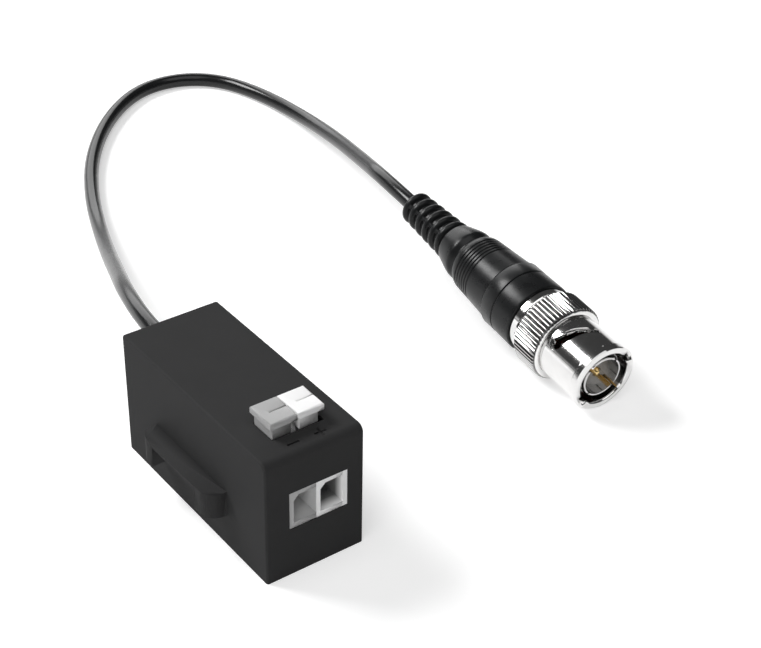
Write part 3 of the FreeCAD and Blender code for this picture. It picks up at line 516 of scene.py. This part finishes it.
class BalunPlugProperties(bpy.types.PropertyGroup):
    """The bayonet plug and its boot."""
    plating: bpy.props.FloatVectorProperty(
        name="Plating colour", description="Colour of the bright plating", subtype="COLOR",
        default=(0.75, 0.745, 0.74), min=0, max=1,
    )
    # Sets only how deep the knurl's painted groove shade reaches.
    knurl_depth: bpy.props.FloatProperty(
        name="Knurl depth", description="Depth of the knurl's dark grooves", unit="LENGTH", default=0.35 * MM,
        min=0.05 * MM,
    )
    rings: bpy.props.IntProperty(
        name="Rings", description="Number of rings on the strain relief", default=6, min=2,
    )
    ring_pitch: bpy.props.FloatProperty(
        name="Ring pitch", description="From one ring to the next", unit="LENGTH",
        default=2.3 * MM, min=1 * MM,
    )
    ring_width: bpy.props.FloatProperty(
        name="Ring width", description="Width of a ring at its foot", unit="LENGTH",
        default=1.6 * MM, min=0.5 * MM,
    )
    ring_height: bpy.props.FloatProperty(
        name="Ring height", description="Depth of the grooves between the rings", unit="LENGTH",
        default=0.72 * MM, min=0,
    )
    web_angle: bpy.props.FloatProperty(
        name="Web angle", description="Where the webs between the rings lie, about the plug's axis",
        subtype="ANGLE", default=math.radians(141),
    )
    web_width: bpy.props.FloatProperty(
        name="Web width", description="How far round a web goes", subtype="ANGLE",
        default=math.radians(15), min=0,
    )
    web_drop: bpy.props.FloatProperty(
        name="Web drop", description="How far the webs lie below the rings' crests", unit="LENGTH",
        default=0.3 * MM, min=0,
    )


class BalunStageProperties(bpy.types.PropertyGroup):
    """The light."""
    key_power: bpy.props.FloatProperty(
        name="Key light", description="Power of the soft light behind", unit="POWER",
        default=3.0, min=0,
    )
    fill_power: bpy.props.FloatProperty(
        name="Fill light", description="Power of the soft light at the left", unit="POWER",
        default=1.15, min=0,
    )
    back_power: bpy.props.FloatProperty(
        name="Back light", description="Power of the low light that only shows as a shine", unit="POWER",
        default=4.5, min=0,
    )
    top_power: bpy.props.FloatProperty(
        name="Top light", description="Power of the broad dim light above", unit="POWER", default=1.5, min=0,
    )
    sky: bpy.props.FloatProperty(
        name="Sky", description="Strength of the light from straight above, where the horizon's is 1",
        default=0.05, min=0,
    )


# Each lamp's place, width and height in metres, and the point that they all face
KEY_LAMP = ((-0.19, 0.38, 0.42), 0.26, 0.20)
TOP_LAMP = ((0.0, -0.12, 0.60), 0.60, 0.50)
FILL_LAMP = ((-0.50, -0.25, 0.20), 0.40, 0.40)
BACK_LAMP = ((0.30, 0.95, 0.46), 0.90, 0.55)
LAMP_TARGET = Vector((0.03, 0.04, 0.0))

# The floor's size and middle in metres, its tones, and how much it glows for the rays that see it
FLOOR_SIZE = 6
FLOOR_MIDDLE = (0.03, 0.03, 0)
FLOOR_TONE = (0.80, 0.80, 0.80)
FLOOR_GLOW = 0.45

# The cable's route in millimetres, from the grommet to the strain relief
CABLE_FLOOR = 1.55
CABLE_ROUTE = [
    (0.0, 28.8, 16.7),
    (3.6, 42.6, 14.4),
    (8.2, 54.2, 10.4),
    (13.3, 67.4, 6.0),
    (18.7, 81.2, 2.7),
    (24.2, 94.8, CABLE_FLOOR),
    (31.2, 108.2, CABLE_FLOOR),
    (40.2, 120.0, CABLE_FLOOR),
    (49.8, 128.6, CABLE_FLOOR),
    (58.6, 132.8, CABLE_FLOOR),
    (67.6, 131.9, CABLE_FLOOR),
    (74.5, 126.0, CABLE_FLOOR),
    (78.2, 114.6, CABLE_FLOOR),
    (78.8, 99.9, 2.3),
    (75.7, 83.1, 5.3),
    (70.2, 65.0, 9.4),
]
LAST_RUN = 10 * MM
POINTS_PER_RUN = 16

# The boot's outline in millimetres: radii, and stations from its rear end
CREST_REAR = 3.15
CREST_FRONT = 3.9
RING_PROFILE = (-1, -0.93, -0.78, -0.5, -0.2, 0.2, 0.5, 0.78, 0.93, 1)
BELL = [
    (4.0, 14.15), (4.22, 14.8), (4.45, 15.6), (4.72, 16.5), (4.93, 17.3), (5.06, 18.0), (5.1, 18.4),
    (5.02, 18.75), (4.84, 19.1), (4.68, 19.5),
]
NECK = [(4.65, 19.7), (4.7, 19.82), (5.0, 20.05), (5.3, 20.35), (5.5, 20.75)]
GRIP = (5.65, 21.4)
GRIP_FRONT = (6.4, 31.2)
BAND = 6.75
BAND_GROOVE = 34.4
FRONT = (6.85, 39.5)
FINE_GROOVES = 6
FINE_START = 21.85
FINE_PITCH = 0.75
FINE_DEPTH = 0.2
FINE_PROFILE = ((-0.26, 0), (-0.16, 0.6), (0, 1), (0.16, 0.6), (0.26, 0))
INSIDE = [(4.4, 39.5), (4.4, 32.0), (2.6, 32.0), (2.6, 22.2), (1.52, 22.2)]
BOOT_SIDES = 96
BOOT_EDGE_ANGLE = 38

# How the boot's edges are eased: offsets in radius and station from each corner
GRIP_FRONT_EASE = ((0, -0.25), (-0.2, -0.05), (-0.15, 0))
BAND_REAR_EASE = ((-0.08, 0.12), (0, 0.25))
BAND_GROOVE_SIDES = ((0, -0.2), (-0.2, 0), (0, 0.2))
FRONT_EASE = ((0, -0.45), (-0.06, -0.15), (-0.25, 0))


def boot_rear():
    """The point on the plug's axis where the cable enters the boot."""
    return plug_mouth + plug_axis * span("plug_boot")[0]


def crest(station, sizes):
    """The strain relief's outer radius, in millimetres."""
    share = station * MM / (sizes.rings * sizes.ring_pitch)
    return CREST_REAR + share * (CREST_FRONT - CREST_REAR)


def about(radius, station, offsets):
    """The outline's points about one of its corners."""
    return [(radius + out, station + along) for out, along in offsets]


def boot_outline(sizes):
    """The boot's outline in millimetres, from the bore at its rear, over its outside, and back inside."""
    pitch = sizes.ring_pitch / MM
    half = sizes.ring_width / MM / 2
    height = sizes.ring_height / MM
    points = [(INSIDE[-1][0], 0.0)]
    for index in range(sizes.rings):
        middle = (index + 0.5) * pitch
        for across in RING_PROFILE:
            station = middle + across * half
            points.append((crest(station, sizes) - height * abs(across) ** 3, station))
    relief_end = sizes.rings * pitch
    points += [(crest(relief_end, sizes) - height, relief_end)] + BELL + NECK + [GRIP]
    slope = (GRIP_FRONT[0] - GRIP[0]) / (GRIP_FRONT[1] - GRIP[1])
    for index in range(FINE_GROOVES):
        for across, depth in FINE_PROFILE:
            station = FINE_START + (index + across) * FINE_PITCH
            points.append((GRIP[0] + slope * (station - GRIP[1]) - depth * FINE_DEPTH, station))
    points += about(*GRIP_FRONT, GRIP_FRONT_EASE)
    points += about(BAND, GRIP_FRONT[1], BAND_REAR_EASE)
    points += about(BAND, BAND_GROOVE, BAND_GROOVE_SIDES)
    points += about(*FRONT, FRONT_EASE)
    return points + INSIDE + points[:1]


class BALUN_OT_housing(bpy.types.Operator):
    """Finish the housing and engrave the marks in front of its buttons"""
    bl_idname = "balun.housing"
    bl_label = "Housing"

    def execute(self, context):
        sizes = context.scene.balun_housing
        plastic = moulded(
            "Housing plastic", sizes.black, 0.6, grain=0.12 * MM, depth=0.006 * MM, edge_highlight=1.3, specular=0.02,
        )
        shell = smooth_copy("housing_shell", plastic)
        dress("bottom_cover", plastic)
        low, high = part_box("housing_shell")
        row = low.y + sizes.mark_setback
        strokes = []
        for name in ("minus", "plus"):
            button_low, button_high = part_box("button_" + name)
            middle = (button_low.x + button_high.x) / 2
            strokes.append((middle, sizes.mark_length, sizes.mark_stroke))
        strokes.append((middle, sizes.mark_stroke, sizes.mark_length))
        for x, width, depth in strokes:
            bpy.ops.object.select_all(action="DESELECT")
            bpy.ops.mesh.primitive_cube_add(
                size=1, location=(x, row, high.z), scale=(width, depth, 2 * sizes.mark_depth),
            )
            carve(shell, context.object)
        smooth(shell, EDGE_ANGLE)
        flatten_large_faces(shell)
        return {"FINISHED"}


class BALUN_OT_terminal(bpy.types.Operator):
    """Finish the push-in terminal, its buttons, springs and bars"""
    bl_idname = "balun.terminal"
    bl_label = "Terminal"

    def execute(self, context):
        sizes = context.scene.balun_housing
        satin = {"grain": 0.3 * MM, "depth": 0.003 * MM}
        grey = moulded("Grey plastic", sizes.grey, 0.42, edge_highlight=1.1, specular=0.25, **satin)
        white = moulded("White plastic", sizes.white, 0.42, edge_highlight=1.05, specular=0.25, **satin)
        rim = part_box("pole_plus")[0].y
        start = rim + 0.1 * MM
        end = rim + sizes.painted_funnel_depth
        # Painted light deep in the minus pole's wire funnels, painted shade deep in the plus pole's.
        grey_pole = moulded(
            "Grey pole plastic", sizes.grey, 0.5, edge_highlight=1.25, painted_funnel_light=(start, end, 1.35), **satin,
        )
        white_pole = moulded(
            "White pole plastic", sizes.white, 0.5, edge_highlight=1.05, painted_funnel_light=(start, end, 0.16), **satin,
        )
        steel = plain_metal("Spring steel", (0.62, 0.62, 0.62), 0.25)
        tinned = plain_metal("Tinned copper", (0.74, 0.72, 0.68), 0.3)
        for name, material, pole_material in (("minus", grey, grey_pole), ("plus", white, white_pole)):
            smooth_copy("pole_" + name, pole_material)
            smooth_copy("button_" + name, material)
            dress("clamp_spring_" + name, steel)
            dress("contact_bar_" + name, tinned)
        smooth_copy("terminal_end_plate", white)
        dress("core_lead", tinned)
        dress("braid_lead", tinned)
        return {"FINISHED"}


class BALUN_OT_circuit(bpy.types.Operator):
    """Finish the circuit inside the housing"""
    bl_idname = "balun.circuit"
    bl_label = "Circuit"

    def execute(self, context):
        dress("circuit_board", speckled("Board laminate", (0.03, 0.16, 0.06), 0.4, 0.6 * MM))
        dress("ferrite_core", speckled("Ferrite", (0.08, 0.08, 0.085), 0.6, 0.2 * MM))
        enamel = plain_metal("Enamelled copper", (0.62, 0.24, 0.08), 0.25)
        dress("winding_signal", enamel)
        dress("winding_line", enamel)
        ceramic = speckled("Ceramic", (0.62, 0.55, 0.42), 0.45, 0.15 * MM)
        dress("surge_arrester", ceramic)
        dress("chip_capacitors", ceramic)
        dress("chip_resistors", speckled("Resistor body", (0.03, 0.03, 0.03), 0.4, 0.15 * MM))
        return {"FINISHED"}


class BALUN_OT_cable(bpy.types.Operator):
    """Lay the cable and finish its grommet and its two held ends"""
    bl_idname = "balun.cable"
    bl_label = "Cable"

    def execute(self, context):
        sizes = context.scene.balun_cable
        finish = jacket("Cable jacket", sizes.black, 0.2, specular=0.3)
        low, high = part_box("cable_grommet")
        exit_point = Vector((0, high.y, (low.z + high.z) / 2))
        rear = boot_rear()
        route = [exit_point] + [Vector(point) * MM for point in CABLE_ROUTE]
        route += [rear - plug_axis * LAST_RUN, rear]
        line = bpy.data.curves.new("cable_line", "CURVE")
        line.dimensions = "3D"
        line.bevel_depth = sizes.diameter / 2
        line.bevel_resolution = 8
        line.resolution_u = POINTS_PER_RUN
        line.use_fill_caps = True
        spline = line.splines.new("NURBS")
        spline.points.add(len(route) - 1)
        for point, place in zip(spline.points, route):
            point.co = (*place, 1.0)
        spline.order_u = 3
        spline.use_endpoint_u = True
        spline.resolution_u = POINTS_PER_RUN
        cable = bpy.data.objects.new("cable_run", line)
        context.scene.collection.objects.link(cable)
        line.materials.append(finish)
        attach(cable, "root")
        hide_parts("cable")
        dress("cable_tail", finish)
        dress("cable_head", finish)
        dress("cable_core", speckled("Dielectric", (0.82, 0.82, 0.80), 0.5, 0.4 * MM))
        smooth_copy("cable_grommet", soft_rubber("Grommet rubber", sizes.black, 0.45))
        return {"FINISHED"}


class BALUN_OT_plug(bpy.types.Operator):
    """Finish the plug's boot and metal pieces"""
    bl_idname = "balun.plug"
    bl_label = "Plug"

    def execute(self, context):
        black = context.scene.balun_cable.black
        sizes = context.scene.balun_plug
        self.boot(sizes, soft_rubber("Boot rubber", black, 0.29, specular=0.2))
        nickel = turned_metal("Bright nickel", sizes.plating, 0.12)
        grooves = (span("coupling_sleeve")[2], sizes.knurl_depth)
        knurled = turned_metal("Knurled nickel", sizes.plating, 0.12, grooves)
        smooth_copy("coupling_sleeve", knurled, turned=True)
        for name in ("plug_body", "rear_collar", "outer_contact"):
            smooth_copy(name, nickel, turned=True)
        for name in ("closing_ring", "thrust_washer", "crimp_ferrule"):
            dress(name, nickel)
        dress("wave_washer", bpy.data.materials["Spring steel"])
        smooth_copy("plug_insulator", speckled("Plug insulator", (0.84, 0.84, 0.82), 0.4, 0.5 * MM))
        smooth_copy("center_pin", turned_metal("Contact gold", (0.80, 0.58, 0.26), 0.2))
        dress("mouth_gasket", soft_rubber("Gasket silicone", (0.30, 0.07, 0.05), 0.5))
        return {"FINISHED"}

    def boot(self, sizes, rubber):
        """The boot, turned from its outline, with two webs that bridge each groove of its strain relief."""
        outline = [(radius * MM, station * MM) for radius, station in boot_outline(sizes)]
        boot = lathe("plug_boot_finished", outline, BOOT_SIDES)
        only(boot)
        bpy.ops.object.mode_set(mode="EDIT")
        angles = (math.degrees(sizes.web_angle), math.degrees(sizes.web_angle) + 180)
        first = sizes.ring_pitch / 2
        last = (sizes.rings - 0.5) * sizes.ring_pitch
        for radius, station in outline:
            top = crest(station / MM, sizes) * MM - sizes.web_drop
            if first < station < last and INSIDE[-1][0] * MM < radius < top:
                pick_ring(boot, station, angles, math.degrees(sizes.web_width) / 2)
                scale = top / radius
                bpy.ops.transform.resize(value=(scale, scale, 1), center_override=(0, 0, station))
        bpy.ops.object.mode_set(mode="OBJECT")
        smooth(boot, BOOT_EDGE_ANGLE)
        place = Matrix.Translation(boot_rear()) @ plug_turn.to_matrix().to_4x4()
        settle(boot, place, rubber, "plug_boot")


class BALUN_OT_stage(bpy.types.Operator):
    """Set the floor, the lights and the camera"""
    bl_idname = "balun.stage"
    bl_label = "Stage"

    def execute(self, context):
        sizes = context.scene.balun_stage
        self.floor(context)
        self.sky(context, sizes.sky)
        self.lamp("key_light", *KEY_LAMP, sizes.key_power)
        self.lamp("top_light", *TOP_LAMP, sizes.top_power)
        fill = self.lamp("fill_light", *FILL_LAMP, sizes.fill_power)
        fill.visible_glossy = False
        back = self.lamp("back_light", *BACK_LAMP, sizes.back_power)
        back.visible_diffuse = False
        self.camera(context)
        context.scene.view_settings.view_transform = "Standard"
        return {"FINISHED"}

    def floor(self, context):
        """A pale floor that shows white, and darkens only in the object's shadow."""
        bpy.ops.object.select_all(action="DESELECT")
        bpy.ops.mesh.primitive_plane_add(size=FLOOR_SIZE, location=FLOOR_MIDDLE)
        floor = context.object
        floor.name = "studio_floor"
        finish = Finish("Pale floor", FLOOR_TONE, 0.9, specular=0.0)
        grain = finish.noise(size=2 * MM)
        finish.set("Base Color", finish.shades(grain, darkest=0.9875, lightest=1.0125))
        finish.set("Emission Color", finish.mix(seen_rays(finish.tree), (0, 0, 0, 1), (1, 1, 1, 1)))
        finish.set("Emission Strength", FLOOR_GLOW)
        floor.data.materials.append(finish.material)

    def sky(self, context, zenith):
        """Light from all round: white at the horizon, and dark above, so that metal shows contrast."""
        world = bpy.data.worlds.new("Studio sky")
        context.scene.world = world
        world.use_nodes = True
        tree = world.node_tree
        direction = add_node(tree, "TexCoord", output="Generated")
        height = add_node(tree, "SeparateXYZ", inputs={"Vector": direction}, output="Z")
        bright_below = 0.04
        dark_above = 0.20
        low = ((dark_above - height) / (dark_above - bright_below)).clamp()
        background = tree.nodes["Background"]
        background.inputs["Color"].default_value = (1, 1, 1, 1)
        connect(tree, low * (1 - zenith) + zenith, background.inputs["Strength"])

    def lamp(self, name, place, width, height, power):
        """A soft rectangular light that faces the object."""
        bpy.ops.object.light_add(type="AREA", location=place)
        lamp = bpy.context.object
        lamp.name = name
        lamp.data.shape = "RECTANGLE"
        lamp.data.size = width
        lamp.data.size_y = height
        lamp.data.energy = power
        lamp.rotation_euler = (LAMP_TARGET - Vector(place)).to_track_quat("-Z", "Y").to_euler()
        return lamp

    def camera(self, context):
        """The photograph's viewpoint, fitted to the housing's corners."""
        yaw = math.radians(36.73)
        pitch = math.radians(33.7)
        roll = math.radians(-1.05)
        eye = Vector((-112.74, -186.99, 177.59)) * MM
        image_width = 761
        focal_pixels = 1750.86
        forward = Vector((math.sin(yaw) * math.cos(pitch), math.cos(yaw) * math.cos(pitch), -math.sin(pitch)))
        level = Vector((math.cos(yaw), -math.sin(yaw), 0))
        down = forward.cross(level)
        right = math.cos(roll) * level + math.sin(roll) * down
        up = math.sin(roll) * level - math.cos(roll) * down
        bpy.ops.object.camera_add(location=eye)
        camera = context.object
        camera.name = "studio_camera"
        camera.matrix_world = Matrix((
            (right.x, up.x, -forward.x, eye.x),
            (right.y, up.y, -forward.y, eye.y),
            (right.z, up.z, -forward.z, eye.z),
            (0, 0, 0, 1),
        ))
        camera.data.sensor_fit = "HORIZONTAL"
        camera.data.sensor_width = 36
        camera.data.lens = focal_pixels * camera.data.sensor_width / image_width
        camera.data.clip_start = 0.01
        context.scene.camera = camera


class BALUN_PT_panel(bpy.types.Panel):
    """The balun's sizes and steps in the sidebar"""
    bl_idname = "BALUN_PT_panel"
    bl_label = "Video Balun"
    bl_space_type = "VIEW_3D"
    bl_region_type = "UI"
    bl_category = "Balun"

    def draw(self, context):
        for name, group in PROPERTY_GROUPS.items():
            box = self.layout.box()
            for option in group.__annotations__:
                box.prop(getattr(context.scene, name), option)
        for operator in OPERATORS:
            self.layout.operator(operator.bl_idname)


PROPERTY_GROUPS = {
    "balun_housing": BalunHousingProperties,
    "balun_cable": BalunCableProperties,
    "balun_plug": BalunPlugProperties,
    "balun_stage": BalunStageProperties,
}
OPERATORS = (
    BALUN_OT_housing,
    BALUN_OT_terminal,
    BALUN_OT_circuit,
    BALUN_OT_cable,
    BALUN_OT_plug,
    BALUN_OT_stage,
)


def register():
    for name, group in PROPERTY_GROUPS.items():
        bpy.utils.register_class(group)
        setattr(bpy.types.Scene, name, bpy.props.PointerProperty(type=group))
    for operator in OPERATORS:
        bpy.utils.register_class(operator)
    bpy.utils.register_class(BALUN_PT_panel)


def unregister():
    bpy.utils.unregister_class(BALUN_PT_panel)
    for operator in reversed(OPERATORS):
        bpy.utils.unregister_class(operator)
    for name, group in PROPERTY_GROUPS.items():
        delattr(bpy.types.Scene, name)
        bpy.utils.unregister_class(group)


def main():
    register()
    bpy.ops.balun.housing()
    bpy.ops.balun.terminal()
    bpy.ops.balun.circuit()
    bpy.ops.balun.plug()
    bpy.ops.balun.cable()
    bpy.ops.balun.stage()


if __name__ == "__main__":
    main()
